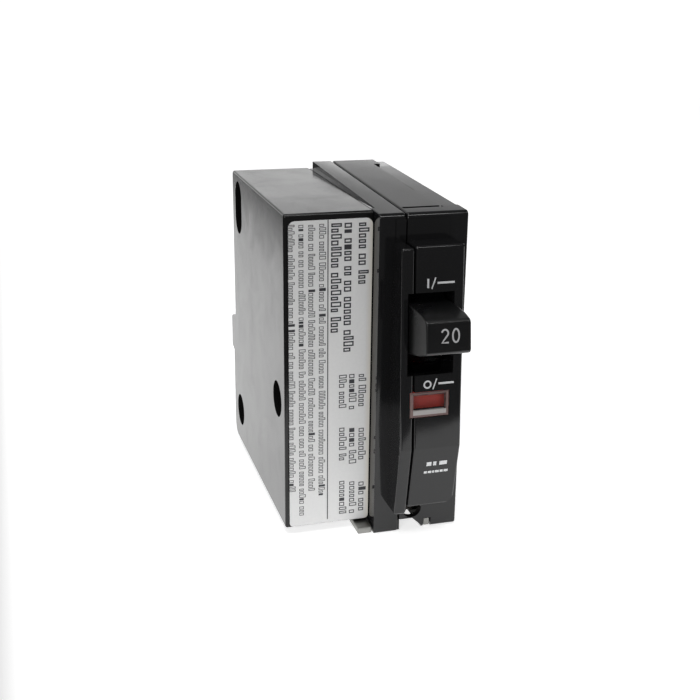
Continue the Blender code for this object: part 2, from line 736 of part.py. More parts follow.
def solenoid():
    x, y = COIL_AT
    frame = box("solenoid_frame", (4.0, 15.0), (y - 10, y + 10), (34.0, 61.0), "steel")
    cut_box(frame, "inside", (0, 20), (y - 8.5, y + 8.5), (35.5, 59.5))
    cut_round(frame, "bore", "Z", COIL_AT, 30, 37, 2.7)
    profile = [
        (2.65, 35.8), (7.1, 35.8), (7.1, 37.0), (3.6, 37.0), (3.6, 58.0), (7.1, 58.0),
        (7.1, 59.2), (2.65, 59.2),
    ]
    lathe("coil_bobbin", "Z", COIL_AT, profile, "bobbin", 36)
    coil = [(3.9, 37.3), (6.6, 37.3), (6.6, 57.7), (3.9, 57.7)]
    lathe("coil_winding", "Z", COIL_AT, coil, "winding", 36)
    foot = PLUNGER_FOOT
    plunger = [
        (0, foot), (2.1, foot), (2.3, foot + 0.2), (2.3, foot + 1.5), (1.2, foot + 1.5),
        (1.2, foot + 4.4), (3.6, foot + 4.4), (3.6, 27.0), (2.3, 27.0), (2.3, 52.0), (0, 52.0),
    ]
    lathe("plunger", "Z", COIL_AT, plunger, "steel", 32, (x, y, foot))
    points = []
    for i in range(5 * 16 + 1):
        turn = 2 * math.pi * i / 16
        height = SPRING_LOW + 0.35 + (SPRING_HIGH - SPRING_LOW - 0.7) * i / (5 * 16)
        points.append((x + 3.0 * math.cos(turn), y + 3.0 * math.sin(turn), height))
    wire("plunger_spring", points, 0.33, "steel", (x, y, SPRING_HIGH))


def release_crank():
    """Bell crank: front arm in the plunger's neck, upright arm with the drive pin, rear tail."""
    y, z = CRANK_PIVOT
    outline = [(14.2, z + 1.3), (14.2, z + 0.5), (19.5, z + 0.1), (y - 2.0, z - 1.2)]
    outline += arc(CRANK_PIVOT, 2.6, 210, 330, 8)
    outline += [(38.4, z - 1.9), (38.4, z - 0.7), (y + 2.0, z + 1.6)]
    outline += arc((y, z + 7.5), 2.0, 0, 180, 8)
    outline += [(y - 2.0, z + 1.6)]
    origin = (12.0, y, z)
    crank = prism("release_crank", outline, 11.1, 13.0, "zinc", "X", origin)
    cut_round(crank, "bore", "X", CRANK_PIVOT, 9, 15, 1.4)
    cylinder("crank_pin", "X", CRANK_PIVOT, 1.9, 17.3, 1.1, "steel")
    cylinder("drive_pin", "X", DRIVE_PIN, 13.3, 27.6, 1.2, "steel", 24, origin)


def cut_off_switch():
    body = box("switch_body", (7.8, 15.6), (33.2, 46.0), (5.0, 15.6), "bobbin")
    bevel(body, 0.3, 1)
    cut_box(body, "well", (10.2, 13.9), (35.2, 39.4), (9.0, 20))
    box("switch_button", (10.5, 13.6), (35.5, 39.1), (12.4, 19.6), "red", (12.05, 37.3, 19.6))
    for i in range(2):
        x = 9.4 + 4.6 * i
        box("switch_tab_%d" % (i + 1), (x - 0.4, x + 0.4), (46.3, 51.0), (8.0, 12.0), "brass")


breaker_cover()
breaker_base()
rivets()
handle()
trip_flag()
flag_window()
contact_arm()
line_side()
arc_chamber()
trip_lever()
toggle_spring()
thermal_magnetic()
load_side()
rail_hook()
module_case()
module_cover()
module_rivets()
module_outside()
solenoid()
release_crank()
cut_off_switch()
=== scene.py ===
import json
import math

import bmesh
import bpy
import numpy as np
from mathutils import Matrix, Vector


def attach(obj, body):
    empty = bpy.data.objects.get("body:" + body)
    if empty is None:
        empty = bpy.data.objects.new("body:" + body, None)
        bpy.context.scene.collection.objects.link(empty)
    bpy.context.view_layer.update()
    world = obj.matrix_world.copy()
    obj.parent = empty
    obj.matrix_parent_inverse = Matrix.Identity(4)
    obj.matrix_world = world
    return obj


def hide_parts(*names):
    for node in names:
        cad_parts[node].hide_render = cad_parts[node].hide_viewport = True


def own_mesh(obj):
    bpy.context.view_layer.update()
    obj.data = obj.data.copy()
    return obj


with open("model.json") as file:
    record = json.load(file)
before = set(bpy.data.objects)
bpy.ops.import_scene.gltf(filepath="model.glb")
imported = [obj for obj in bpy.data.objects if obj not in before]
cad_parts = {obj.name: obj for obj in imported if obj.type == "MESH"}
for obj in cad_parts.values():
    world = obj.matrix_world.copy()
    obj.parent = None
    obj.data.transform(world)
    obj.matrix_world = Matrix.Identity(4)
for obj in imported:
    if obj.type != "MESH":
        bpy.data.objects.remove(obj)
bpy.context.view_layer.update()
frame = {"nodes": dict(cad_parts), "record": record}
print("frame loaded:", len(frame["nodes"]), "nodes")

mm = 0.001
shift = np.array((-19.05, -19.4, 1.8))      # from the case's own corner to the shared frame, mm


def place(points):
    # points in millimetres measured from the module's lower front left corner, as metres in the
    # frame
    return (np.asarray(points, float) + shift) * mm


view = {"azimuth": -16.6007, "elevation": 18.6293, "roll": 0.6914,
        "eye": (-49.74, -214.25, 115.55), "lens": 57.571}


def makeCamera(view):
    # the camera's back vector points from the object to the eye; right and up are turned by the
    # roll
    a, e, t = (math.radians(view[k]) for k in ("azimuth", "elevation", "roll"))
    back = Vector((math.sin(a) * math.cos(e), -math.cos(a) * math.cos(e), math.sin(e)))
    flatRight = Vector((math.cos(a), math.sin(a), 0))
    flatUp = back.cross(flatRight)
    right = flatRight * math.cos(t) + flatUp * math.sin(t)
    up = flatUp * math.cos(t) - flatRight * math.sin(t)
    data = bpy.data.cameras.new("camera")
    data.lens = view["lens"]
    data.sensor_width = 36
    data.clip_start, data.clip_end = 0.005, 20
    camera = bpy.data.objects.new("camera", data)
    bpy.context.scene.collection.objects.link(camera)
    turn = Matrix((right, up, back)).transposed().to_4x4()
    camera.matrix_world = Matrix.Translation(Vector(place(view["eye"]))) @ turn
    bpy.context.scene.camera = camera


makeCamera(view)
bpy.context.scene.view_settings.view_transform = "Standard"


def newMaterial(name):
    made = bpy.data.materials.new(name)
    made.use_nodes = True
    made.node_tree.nodes.clear()
    tree = made.node_tree
    out = tree.nodes.new("ShaderNodeOutputMaterial")
    shader = tree.nodes.new("ShaderNodeBsdfPrincipled")
    tree.links.new(shader.outputs[0], out.inputs[0])
    return made, tree, shader


def addNode(tree, kind, values=None, **props):
    made = tree.nodes.new("ShaderNode" + kind)
    for key, value in props.items():
        setattr(made, key, value)
    for key, value in (values or {}).items():
        made.inputs[key].default_value = value
    return made


def link(tree, source, target):
    tree.links.new(source, target)


def mathNode(tree, operation, a, b=None, clamp=False):
    made = addNode(tree, "Math", operation=operation, use_clamp=clamp)
    for socket, value in zip(made.inputs, (a, b)):
        if value is None:
            continue
        if isinstance(value, (int, float)):
            socket.default_value = value
        else:
            link(tree, value, socket)
    return made.outputs[0]


def groupTree(name, inputs, outputs):
    made = bpy.data.node_groups.new(name, "ShaderNodeTree")
    for title, kind, value in inputs:
        socket = made.interface.new_socket(title, in_out="INPUT", socket_type=kind)
        if value is not None:
            socket.default_value = value
    for title, kind in outputs:
        made.interface.new_socket(title, in_out="OUTPUT", socket_type=kind)
    source = made.nodes.new("NodeGroupInput")
    sink = made.nodes.new("NodeGroupOutput")
    return made, source.outputs, sink.inputs


def useGroup(tree, made, values=None):
    node = tree.nodes.new("ShaderNodeGroup")
    node.node_tree = made
    for key, value in (values or {}).items():
        node.inputs[key].default_value = value
    return node


def makeMouldGrain():
    # fine spark-eroded grain, slow flow marks and a few dust specks on moulded plastic
    tree, given, out = groupTree("mouldGrain", [
        ("Vector", "NodeSocketVector", None),
        ("Grain Size", "NodeSocketFloat", 6.0),
        ("Roughness", "NodeSocketFloat", 0.4),
        ("Roughness Swing", "NodeSocketFloat", 0.08),
        ("Colour", "NodeSocketColor", (0.02, 0.02, 0.02, 1)),
        ("Dust Colour", "NodeSocketColor", (0.3, 0.3, 0.3, 1)),
        ("Dust", "NodeSocketFloat", 0.3),
    ], [("Colour", "NodeSocketColor"), ("Roughness", "NodeSocketFloat"),
        ("Height", "NodeSocketFloat")])
    mapping = addNode(tree, "Mapping", {"Scale": (1000, 1000, 1000)})
    link(tree, given["Vector"], mapping.inputs["Vector"])
    grain = addNode(tree, "TexNoise", {"Detail": 3.0, "Roughness": 0.6})
    link(tree, mapping.outputs[0], grain.inputs["Vector"])
    link(tree, given["Grain Size"], grain.inputs["Scale"])
    flow = addNode(tree, "TexNoise",
                   {"Scale": 0.11, "Detail": 4.0, "Roughness": 0.55, "Distortion": 0.6})
    link(tree, mapping.outputs[0], flow.inputs["Vector"])
    specks = addNode(tree, "TexVoronoi", {"Scale": 1.15, "Randomness": 1.0}, feature="F1")
    link(tree, mapping.outputs[0], specks.inputs["Vector"])
    spot = addNode(tree, "MapRange",
                   {"From Min": 0.10, "From Max": 0.05, "To Min": 0.0, "To Max": 1.0})
    link(tree, specks.outputs["Distance"], spot.inputs["Value"])
    patch = addNode(tree, "TexNoise", {"Scale": 0.35, "Detail": 2.0})
    link(tree, mapping.outputs[0], patch.inputs["Vector"])
    where = addNode(tree, "MapRange",
                    {"From Min": 0.52, "From Max": 0.66, "To Min": 0.0, "To Max": 1.0})
    link(tree, patch.outputs["Fac"], where.inputs["Value"])
    dust = mathNode(tree, "MULTIPLY",
                    mathNode(tree, "MULTIPLY", spot.outputs[0], where.outputs[0]), given["Dust"])
    mix = addNode(tree, "Mix", data_type="RGBA")
    link(tree, dust, mix.inputs["Factor"])
    link(tree, given["Colour"], mix.inputs[6])
    link(tree, given["Dust Colour"], mix.inputs[7])
    link(tree, mix.outputs[2], out["Colour"])
    swing = mathNode(tree, "MULTIPLY", mathNode(tree, "SUBTRACT", flow.outputs["Fac"], 0.5),
                     given["Roughness Swing"])
    swing = mathNode(tree, "MULTIPLY", swing, 4.0)
    rough = mathNode(tree, "ADD", given["Roughness"], swing)
    rough = mathNode(tree, "ADD", rough, mathNode(tree, "MULTIPLY", dust, 0.3), clamp=True)
    link(tree, rough, out["Roughness"])
    height = mathNode(tree, "ADD", mathNode(tree, "MULTIPLY", grain.outputs["Fac"], 0.8),
                      mathNode(tree, "MULTIPLY", flow.outputs["Fac"], 3.0))
    link(tree, height, out["Height"])
    return tree


def makeMetalWear():
    # drawn lines along one direction and stains
    tree, given, out = groupTree("metalWear", [
        ("Vector", "NodeSocketVector", None),
        ("Stretch", "NodeSocketVector", (1, 1, 12)),
        ("Roughness", "NodeSocketFloat", 0.3),
        ("Roughness Swing", "NodeSocketFloat", 0.12),
        ("Colour", "NodeSocketColor", (0.6, 0.6, 0.6, 1)),
        ("Stain Colour", "NodeSocketColor", (0.4, 0.38, 0.34, 1)),
        ("Stain", "NodeSocketFloat", 0.4),
    ], [("Colour", "NodeSocketColor"), ("Roughness", "NodeSocketFloat"),
        ("Height", "NodeSocketFloat")])
    mapping = addNode(tree, "Mapping", {"Scale": (1000, 1000, 1000)})
    link(tree, given["Vector"], mapping.inputs["Vector"])
    scaled = addNode(tree, "VectorMath", operation="MULTIPLY")
    link(tree, mapping.outputs[0], scaled.inputs[0])
    link(tree, given["Stretch"], scaled.inputs[1])
    lines = addNode(tree, "TexNoise", {"Scale": 1.2, "Detail": 5.0, "Roughness": 0.7})
    link(tree, scaled.outputs[0], lines.inputs["Vector"])
    stain = addNode(tree, "TexNoise",
                    {"Scale": 0.35, "Detail": 6.0, "Roughness": 0.62, "Distortion": 0.4})
    link(tree, mapping.outputs[0], stain.inputs["Vector"])
    where = addNode(tree, "MapRange",
                    {"From Min": 0.48, "From Max": 0.72, "To Min": 0.0, "To Max": 1.0})
    link(tree, stain.outputs["Fac"], where.inputs["Value"])
    amount = mathNode(tree, "MULTIPLY", where.outputs[0], given["Stain"])
    mix = addNode(tree, "Mix", data_type="RGBA")
    link(tree, amount, mix.inputs["Factor"])
    link(tree, given["Colour"], mix.inputs[6])
    link(tree, given["Stain Colour"], mix.inputs[7])
    link(tree, mix.outputs[2], out["Colour"])
    middle = mathNode(tree, "SUBTRACT", lines.outputs["Fac"], 0.5)
    swing = mathNode(tree, "MULTIPLY", middle, given["Roughness Swing"])
    rough = mathNode(tree, "ADD", given["Roughness"], mathNode(tree, "MULTIPLY", swing, 2.0))
    link(tree, mathNode(tree, "ADD", rough, mathNode(tree, "MULTIPLY", amount, 0.15), clamp=True),
         out["Roughness"])
    link(tree, lines.outputs["Fac"], out["Height"])
    return tree


mouldGrain = makeMouldGrain()
metalWear = makeMetalWear()


def plasticMaterial(name, look):
    made, tree, shader = newMaterial(name)
    spot = addNode(tree, "TexCoord")
    grain = useGroup(tree, mouldGrain, {
        "Grain Size": look.get("grainSize", 6.0), "Roughness": look["roughness"],
        "Roughness Swing": look.get("swing", 0.06), "Colour": (*look["colour"], 1),
        "Dust Colour": (*look.get("dustColour", (0.25, 0.25, 0.25)), 1),
        "Dust": look.get("dust", 0.3)})
    link(tree, spot.outputs["Object"], grain.inputs["Vector"])
    link(tree, grain.outputs["Colour"], shader.inputs["Base Color"])
    link(tree, grain.outputs["Roughness"], shader.inputs["Roughness"])
    bump = addNode(tree, "Bump", {"Strength": look.get("bump", 0.12), "Distance": 0.00004})
    link(tree, grain.outputs["Height"], bump.inputs["Height"])
    link(tree, bump.outputs[0], shader.inputs["Normal"])
    shader.inputs["Specular IOR Level"].default_value = look.get("level", 0.5)
    return made


def metalMaterial(name, look):
    made, tree, shader = newMaterial(name)
    spot = addNode(tree, "TexCoord")
    wear = useGroup(tree, metalWear, {
        "Stretch": look.get("stretch", (1, 1, 12)), "Roughness": look["roughness"],
        "Roughness Swing": look.get("swing", 0.12), "Colour": (*look["colour"], 1),
        "Stain Colour": (*look["stainColour"], 1), "Stain": look.get("stain", 0.4)})
    link(tree, spot.outputs["Object"], wear.inputs["Vector"])
    link(tree, wear.outputs["Colour"], shader.inputs["Base Color"])
    link(tree, wear.outputs["Roughness"], shader.inputs["Roughness"])
    bump = addNode(tree, "Bump", {"Strength": look.get("bump", 0.15), "Distance": 0.00003})
    link(tree, wear.outputs["Height"], bump.inputs["Height"])
    link(tree, bump.outputs[0], shader.inputs["Normal"])
    shader.inputs["Metallic"].default_value = 1.0
    return made


plastics = {
    "case": {"colour": (0.0080, 0.0080, 0.0086), "roughness": 0.085, "swing": 0.02, "bump": 0.05,
             "dust": 0.03},
    "module": {"colour": (0.0070, 0.0068, 0.0068), "roughness": 0.16, "swing": 0.05, "bump": 0.12,
               "dust": 0.03,
               "level": 0.40},
    "handle": {"colour": (0.0044, 0.0044, 0.0048), "roughness": 0.30, "swing": 0.05, "bump": 0.12,
               "dust": 0.03},
    "red": {"colour": (0.72, 0.06, 0.04), "roughness": 0.35, "dust": 0.0},
    "bobbin": {"colour": (0.60, 0.57, 0.48), "roughness": 0.45, "dust": 0.0},
    "fibre": {"colour": (0.33, 0.17, 0.10), "roughness": 0.75, "grainSize": 2.5, "bump": 0.3,
              "dust": 0.0},
}
metals = {
    "steel": {"colour": (0.50, 0.50, 0.51), "roughness": 0.30, "stainColour": (0.36, 0.34, 0.31),
              "stain": 0.35},
    "zinc": {"colour": (0.66, 0.66, 0.63), "roughness": 0.28, "stainColour": (0.50, 0.50, 0.46),
             "stain": 0.5},
    "copper": {"colour": (0.80, 0.38, 0.22), "roughness": 0.27, "stainColour": (0.42, 0.16, 0.08),
               "stain": 0.55,
               "stretch": (12, 1, 1)},
    "silver": {"colour": (0.86, 0.85, 0.82), "roughness": 0.34, "stainColour": (0.40, 0.36, 0.33),
               "stain": 0.5},
    "brass": {"colour": (0.78, 0.58, 0.26), "roughness": 0.26, "stainColour": (0.48, 0.30, 0.12),
              "stain": 0.4},
    "winding": {"colour": (0.46, 0.15, 0.06), "roughness": 0.30, "stainColour": (0.30, 0.08, 0.03),
                "stain": 0.4,
                "stretch": (1, 1, 14), "bump": 0.5},
    "foot": {"colour": (0.30, 0.30, 0.285), "roughness": 0.42, "stainColour": (0.20, 0.20, 0.18),
             "stain": 0.6},
    "darkSteel": {"colour": (0.085, 0.08, 0.075), "roughness": 0.45,
                  "stainColour": (0.06, 0.045, 0.035), "stain": 0.6},
}
finishes = {name: plasticMaterial(name + "Plastic", look) for name, look in plastics.items()}
finishes.update({name: metalMaterial(name + "Metal", look) for name, look in metals.items()})
print("finishes ready:", len(finishes))


slotOf = {s["node"]: s["material_slot"] for s in frame["record"]["subparts"]}
bodyOf = {node: body for body, nodes in frame["record"]["behaviour"]["bodies"].items()
          for node in nodes}
extraFinish = {"module_case": "module", "module_cover": "module", "foot_strap": "foot",
               "lug_tongue": "foot",
               "terminal_screw": "darkSteel", "clamp_plate": "foot"}


def smoothByArea(mesh, sharpAngle):
    # each corner's normal is the area-weighted sum of the faces at its vertex that lean less than
    # sharpAngle from its own face, so flats stay flat and rounded rims still blend
    count, faces = len(mesh.loops), len(mesh.polygons)
    vertex, size = np.empty(count, int), np.empty(faces, int)
    normal, area = np.empty(faces * 3), np.empty(faces)
    mesh.loops.foreach_get("vertex_index", vertex)
    mesh.polygons.foreach_get("loop_total", size)
    mesh.polygons.foreach_get("normal", normal)
    mesh.polygons.foreach_get("area", area)
    mesh.polygons.foreach_set("use_smooth", [True] * faces)
    normal = normal.reshape(-1, 3)
    face = np.repeat(np.arange(faces), size)
    order = np.argsort(vertex, kind="stable")
    shared = np.bincount(vertex)
    first = np.cumsum(shared) - shared
    many = shared[vertex[order]]
    one = np.repeat(order, many)
    offset = np.arange(len(one)) - np.repeat(np.cumsum(many) - many, many)
    two = order[np.repeat(first[vertex[order]], many) + offset]
    near = (normal[face[one]] * normal[face[two]]).sum(1) > math.cos(math.radians(sharpAngle))
    total = np.zeros((count, 3))
    np.add.at(total, one, normal[face[two]] * (area[face[two]] * near)[:, None])
    length = np.linalg.norm(total, axis=1, keepdims=True)
    total = np.where(length > 1e-15, total / np.maximum(length, 1e-15), normal[face])
    mesh.normals_split_custom_set(total.tolist())


def addPiece(name, mesh, body, node):
    piece = bpy.data.objects.new(name, mesh)
    bpy.context.scene.collection.objects.link(piece)
    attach(piece, body)
    if node:
        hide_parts(node)
    return piece


def refineNode(node, finish, sharpAngle=50.0):
    # a merged, smooth-shaded copy of a CAD solid
    mesh = frame["nodes"][node].data.copy()
    mesh.name = node + "Fine"
    bm = bmesh.new()
    bm.from_mesh(mesh)
    bmesh.ops.remove_doubles(bm, verts=bm.verts, dist=2e-6)
    bmesh.ops.dissolve_limit(bm, angle_limit=math.radians(0.3), verts=bm.verts, edges=bm.edges,
                             delimit={"NORMAL"})
    bm.to_mesh(mesh)
    bm.free()
    smoothByArea(mesh, sharpAngle)
    mesh.materials.clear()
    mesh.materials.append(finish)
    return addPiece(node + "Fine", mesh, bodyOf[node], node)


skipped = {"flag_window", "module_label", "plunger_spring"}
for node in frame["nodes"]:
    if node not in skipped:
        refineNode(node, finishes[extraFinish.get(node, slotOf[node])])
# the return spring gets a mesh of its own
spring = refineNode("plunger_spring", finishes["steel"])
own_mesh(spring)
print("solids smoothed")


def plateMesh(name, corners, thickness, material):
    # corners: (n, 4, 3) quads in mm, listed anticlockwise as seen from outside; each becomes a
    # thin closed plate
    quads = np.asarray(corners, float)
    side = np.cross(quads[:, 1] - quads[:, 0], quads[:, 3] - quads[:, 0])
    side /= np.linalg.norm(side, axis=1, keepdims=True)
    points = np.concatenate((quads + side[:, None] * thickness, quads - side[:, None] * 0.004),
                            axis=1)
    pattern = np.array(((0, 1, 2, 3), (7, 6, 5, 4), (0, 4, 5, 1), (1, 5, 6, 2), (2, 6, 7, 3),
                        (3, 7, 4, 0)))
    faces = (pattern[None] + 8 * np.arange(len(quads))[:, None, None]).reshape(-1, 4)
    mesh = bpy.data.meshes.new(name)
    mesh.from_pydata(place(points.reshape(-1, 3)).tolist(), [], faces.tolist())
    mesh.materials.append(material)
    return mesh


def inkMaterial(name, colour, roughness):
    made, tree, shader = newMaterial(name)
    spot = addNode(tree, "TexCoord")
    grain = useGroup(tree, mouldGrain,
                     {"Grain Size": 14.0, "Roughness": roughness, "Roughness Swing": 0.1,
                                        "Colour": (*colour, 1), "Dust Colour": (0.1, 0.1, 0.1, 1),
                                        "Dust": 0.5})
    link(tree, spot.outputs["Object"], grain.inputs["Vector"])
    link(tree, grain.outputs["Colour"], shader.inputs["Base Color"])
    link(tree, grain.outputs["Roughness"], shader.inputs["Roughness"])
    return made


# each line of the label: middle x, top z and bottom z, all in mm
printLines = {
    "small": [(1.35, 67.8, 8.1), (3.60, 67.7, 2.2), (5.65, 67.6, 7.7), (7.92, 67.7, 7.0)],
    "large": [(10.74, 67.8, 43.1), (13.54, 67.8, 39.1), (16.60, 67.7, 54.4)],
    "rating": [(12.45, 35.0, 26.6), (14.68, 35.0, 26.2), (16.80, 34.8, 26.6), (12.58, 22.9, 14.3),
               (14.82, 22.6, 13.9),
               (16.95, 22.4, 14.3), (12.70, 10.3, 1.6), (14.98, 9.9, 1.4), (17.10, 9.6, 1.6)],
}
# height, pitch and stroke width of the blocks
blockStyle = {"small": (1.75, 0.60, 0.14), "large": (2.75, 1.0, 0.30),
              "rating": (2.05, 0.84, 0.20)}


def blockRow(middle, top, bottom, height, pitch, seed):
    # plain upright blocks of two heights in groups of two to eight, so a line reads as print but
    # spells nothing
    draw = np.random.default_rng(seed)
    widths = pitch * draw.uniform(0.75, 1.15, 400)
    lengths = draw.integers(2, 9, 120)
    gaps = np.full(400, 0.30 * pitch)
    gaps[np.minimum(np.cumsum(lengths), 399)] = 1.1 * pitch
    starts = top - np.cumsum(widths + gaps) + widths
    keep = starts - widths > bottom
    starts, widths = starts[keep], widths[keep]
    tall = draw.random(len(starts)) < 0.3
    low = np.full(len(starts), middle - height * 0.32)
    high = np.where(tall, middle + height * 0.5, middle + height * 0.25)
    flat = np.zeros(len(starts))
    rows = np.stack((np.stack((low, flat, starts - widths), 1),
                     np.stack((high, flat, starts - widths), 1),
                     np.stack((high, flat, starts), 1), np.stack((low, flat, starts), 1)), 1)
    return rows


def hollowBlocks(rows, stroke):
    # a hollow block is four strokes: two bars and two uprights
    lowX, highX = rows[:, 0, 0], rows[:, 1, 0]
    lowZ, highZ = rows[:, 0, 2], rows[:, 2, 2]
    made = []
    innerLow, innerHigh = lowZ + stroke, highZ - stroke
    for x0, x1, z0, z1 in ((lowX, highX, innerHigh, highZ), (lowX, highX, lowZ, innerLow),
                           (lowX, lowX + stroke, innerLow, innerHigh),
                           (highX - stroke, highX, innerLow, innerHigh)):
        flat = np.zeros(len(x0))
        made.append(np.stack((np.stack((x0, flat, z0), 1), np.stack((x1, flat, z0), 1),
                              np.stack((x1, flat, z1), 1),
                              np.stack((x0, flat, z1), 1)), 1))
    return np.concatenate(made)


def makeLabelPrint():
    parts = []
    for style, lines in printLines.items():
        height, pitch, stroke = blockStyle[style]
        for number, (middle, top, bottom) in enumerate(lines):
            rows = blockRow(middle, top, bottom, height, pitch, 7 + number + 31 * len(style))
            pick = np.random.default_rng(number).random(len(rows)) < 0.94
            parts += [hollowBlocks(rows[pick], stroke), rows[~pick]]
    rule = np.array([[(9.28, 0, 1.2), (9.50, 0, 1.2), (9.30, 0, 68.3), (9.08, 0, 68.3)]])
    quads = np.concatenate(parts + [rule])
    quads[:, :, 1] = 0.0
    mesh = plateMesh("labelPrint", quads, 0.012,
                     inkMaterial("inkBlack", (0.035, 0.035, 0.04), 0.45))
    return addPiece("labelPrint", mesh, bodyOf["module_label"], None)


def makeLabelMaterial():
    # coated paper: faint mottling and a warmer worn right edge
    made, tree, shader = newMaterial("labelPaper")
    spot = addNode(tree, "TexCoord")
    mapping = addNode(tree, "Mapping", {"Scale": (1000, 1000, 1000)})
    link(tree, spot.outputs["Object"], mapping.inputs["Vector"])
    split = addNode(tree, "SeparateXYZ")
    link(tree, mapping.outputs[0], split.inputs[0])
    warm = addNode(tree, "MapRange", {"From Min": -1.6, "From Max": -0.5})
    link(tree, split.outputs["X"], warm.inputs["Value"])
    mottle = addNode(tree, "TexNoise", {"Scale": 1.6, "Detail": 5.0, "Roughness": 0.65})
    link(tree, mapping.outputs[0], mottle.inputs["Vector"])
    tone = addNode(tree, "Mix", {6: (0.68, 0.68, 0.68, 1), 7: (0.77, 0.77, 0.765, 1)},
                   data_type="RGBA")
    link(tree, mottle.outputs["Fac"], tone.inputs["Factor"])
    edge = addNode(tree, "Mix", {7: (0.70, 0.65, 0.55, 1)}, data_type="RGBA")
    link(tree, mathNode(tree, "MULTIPLY", warm.outputs[0], 0.6), edge.inputs["Factor"])
    link(tree, tone.outputs[2], edge.inputs[6])
    link(tree, edge.outputs[2], shader.inputs["Base Color"])
    rough = addNode(tree, "MapRange", {"To Min": 0.40, "To Max": 0.58})
    link(tree, mottle.outputs["Fac"], rough.inputs["Value"])
    link(tree, rough.outputs[0], shader.inputs["Roughness"])
    bump = addNode(tree, "Bump", {"Strength": 0.08, "Distance": 0.00003})
    link(tree, mottle.outputs["Fac"], bump.inputs["Height"])
    link(tree, bump.outputs[0], shader.inputs["Normal"])
    return made


refineNode("module_label", makeLabelMaterial())
makeLabelPrint()
print("label printed")

frontLine = {"top": (-9.77, 64.15), "bend": (-12.0, 21.1), "low": (-9.0, 6.4)}


def frontDepth(z):
    # y of the raised front at height z, for the two slopes above and below its bend
    z = np.asarray(z, float)
    (yt, zt), (yb, zb), (yl, zl) = frontLine["top"], frontLine["bend"], frontLine["low"]
    return np.where(z > zb, yt + (zt - z) * (yb - yt) / (zt - zb),
                    yb + (zb - z) * (yl - yb) / (zb - zl))


def strokePath(points, width, depth):
    # quads of one printed stroke: each span of a polyline is widened across its direction in the
    # x-z plane
    line = np.asarray(points, float)
    run = np.diff(line, axis=0)
    run /= np.linalg.norm(run, axis=1, keepdims=True)
    tangent = np.vstack((run[:1], run[:-1] + run[1:], run[-1:]))
    if np.allclose(line[0], line[-1]):
        tangent[0] = tangent[-1] = run[0] + run[-1]
    tangent /= np.linalg.norm(tangent, axis=1, keepdims=True)
    across = np.stack((-tangent[:, 1], tangent[:, 0]), 1) * width / 2
    left, right = line + across, line - across
    flat = np.stack((right[:-1], right[1:], left[1:], left[:-1]), 1)
    return np.stack((flat[:, :, 0], depth(flat[:, :, 1]), flat[:, :, 1]), 2)


def ovalPath(centre, size, start=0.0, stop=360.0, steps=28):
    turn = np.radians(np.linspace(start, stop, steps + 1))
    return np.stack((centre[0] + size[0] * np.cos(turn), centre[1] + size[1] * np.sin(turn)), 1)


# strokes of the front marks: end points in x and z and the width of the line, all in mm
frontStrokes = [
    ((27.35, 55.55), (27.35, 57.45), 0.40), ((28.15, 55.35), (28.95, 57.65), 0.26),
    ((29.35, 56.5), (33.05, 56.5), 0.42),
    ((28.75, 34.1), (29.55, 36.35), 0.26), ((29.95, 35.25), (33.35, 35.25), 0.42),
    ((28.0, 17.15), (29.1, 17.15), 0.95), ((29.5, 17.15), (30.2, 17.15), 0.95),
    ((30.9, 17.15), (32.6, 17.15), 0.95),
    ((27.6, 15.1), (28.3, 15.1), 0.55), ((28.5, 15.1), (29.3, 15.1), 0.55),
    ((29.5, 15.1), (29.9, 15.1), 0.55),
    ((30.1, 15.1), (31.0, 15.1), 0.55), ((31.2, 15.1), (31.9, 15.1), 0.55),
    ((32.1, 15.1), (33.0, 15.1), 0.55),
]


def makeFrontMarks():
    # a bar, a slash and a dash for on; a ring, a slash and a dash for off; two rows of plain
    # dashes below
    quads = [strokePath((start, end), width, frontDepth) for start, end, width in frontStrokes]
    quads.append(strokePath(ovalPath((27.55, 35.2), (0.72, 0.72)), 0.34, frontDepth))
    mesh = plateMesh("frontMarks", np.concatenate(quads), 0.02,
                     inkMaterial("inkWhite", (0.72, 0.73, 0.74), 0.5))
    return addPiece("frontMarks", mesh, bodyOf["breaker_base"], None)


def handleDepth(z):
    return -20.5 - (51.0 - np.asarray(z, float)) * 0.65 / 5.4


def makeHandleNumber():
    grey = inkMaterial("inkGrey", (0.48, 0.48, 0.49), 0.5)
    # a two and a nought: an arc joined to a slanting leg and a foot, and an oval
    head = ovalPath((27.22, 49.25), (0.66, 0.74), 165, -25, 14)
    two = np.vstack((head, ((27.3, 48.3), (26.58, 47.4), (28.0, 47.4))))
    quads = [strokePath(two, 0.34, handleDepth),
             strokePath(ovalPath((29.5, 48.68), (0.66, 1.32)), 0.34, handleDepth)]
    mesh = plateMesh("handleNumber", np.concatenate(quads), 0.02, grey)
    return addPiece("handleNumber", mesh, bodyOf["handle"], None)


makeFrontMarks()
makeHandleNumber()
print("marks printed")


def makeClear():
    # clear over the middle; the rim, frosted and pinkish where the moulding thickens, is made by
    # makeRim
    made, tree, shader = newMaterial("lensClear")
    shader.inputs["Transmission Weight"].default_value = 1.0
    shader.inputs["IOR"].default_value = 1.46
    spot = addNode(tree, "TexCoord")
    grain = useGroup(tree, mouldGrain, {"Roughness": 0.04, "Roughness Swing": 0.02, "Dust": 0.0,
                                        "Colour": (0.97, 0.93, 0.93, 1)})
    link(tree, spot.outputs["Object"], grain.inputs["Vector"])
    link(tree, grain.outputs["Roughness"], shader.inputs["Roughness"])
    link(tree, grain.outputs["Colour"], shader.inputs["Base Color"])
    return made


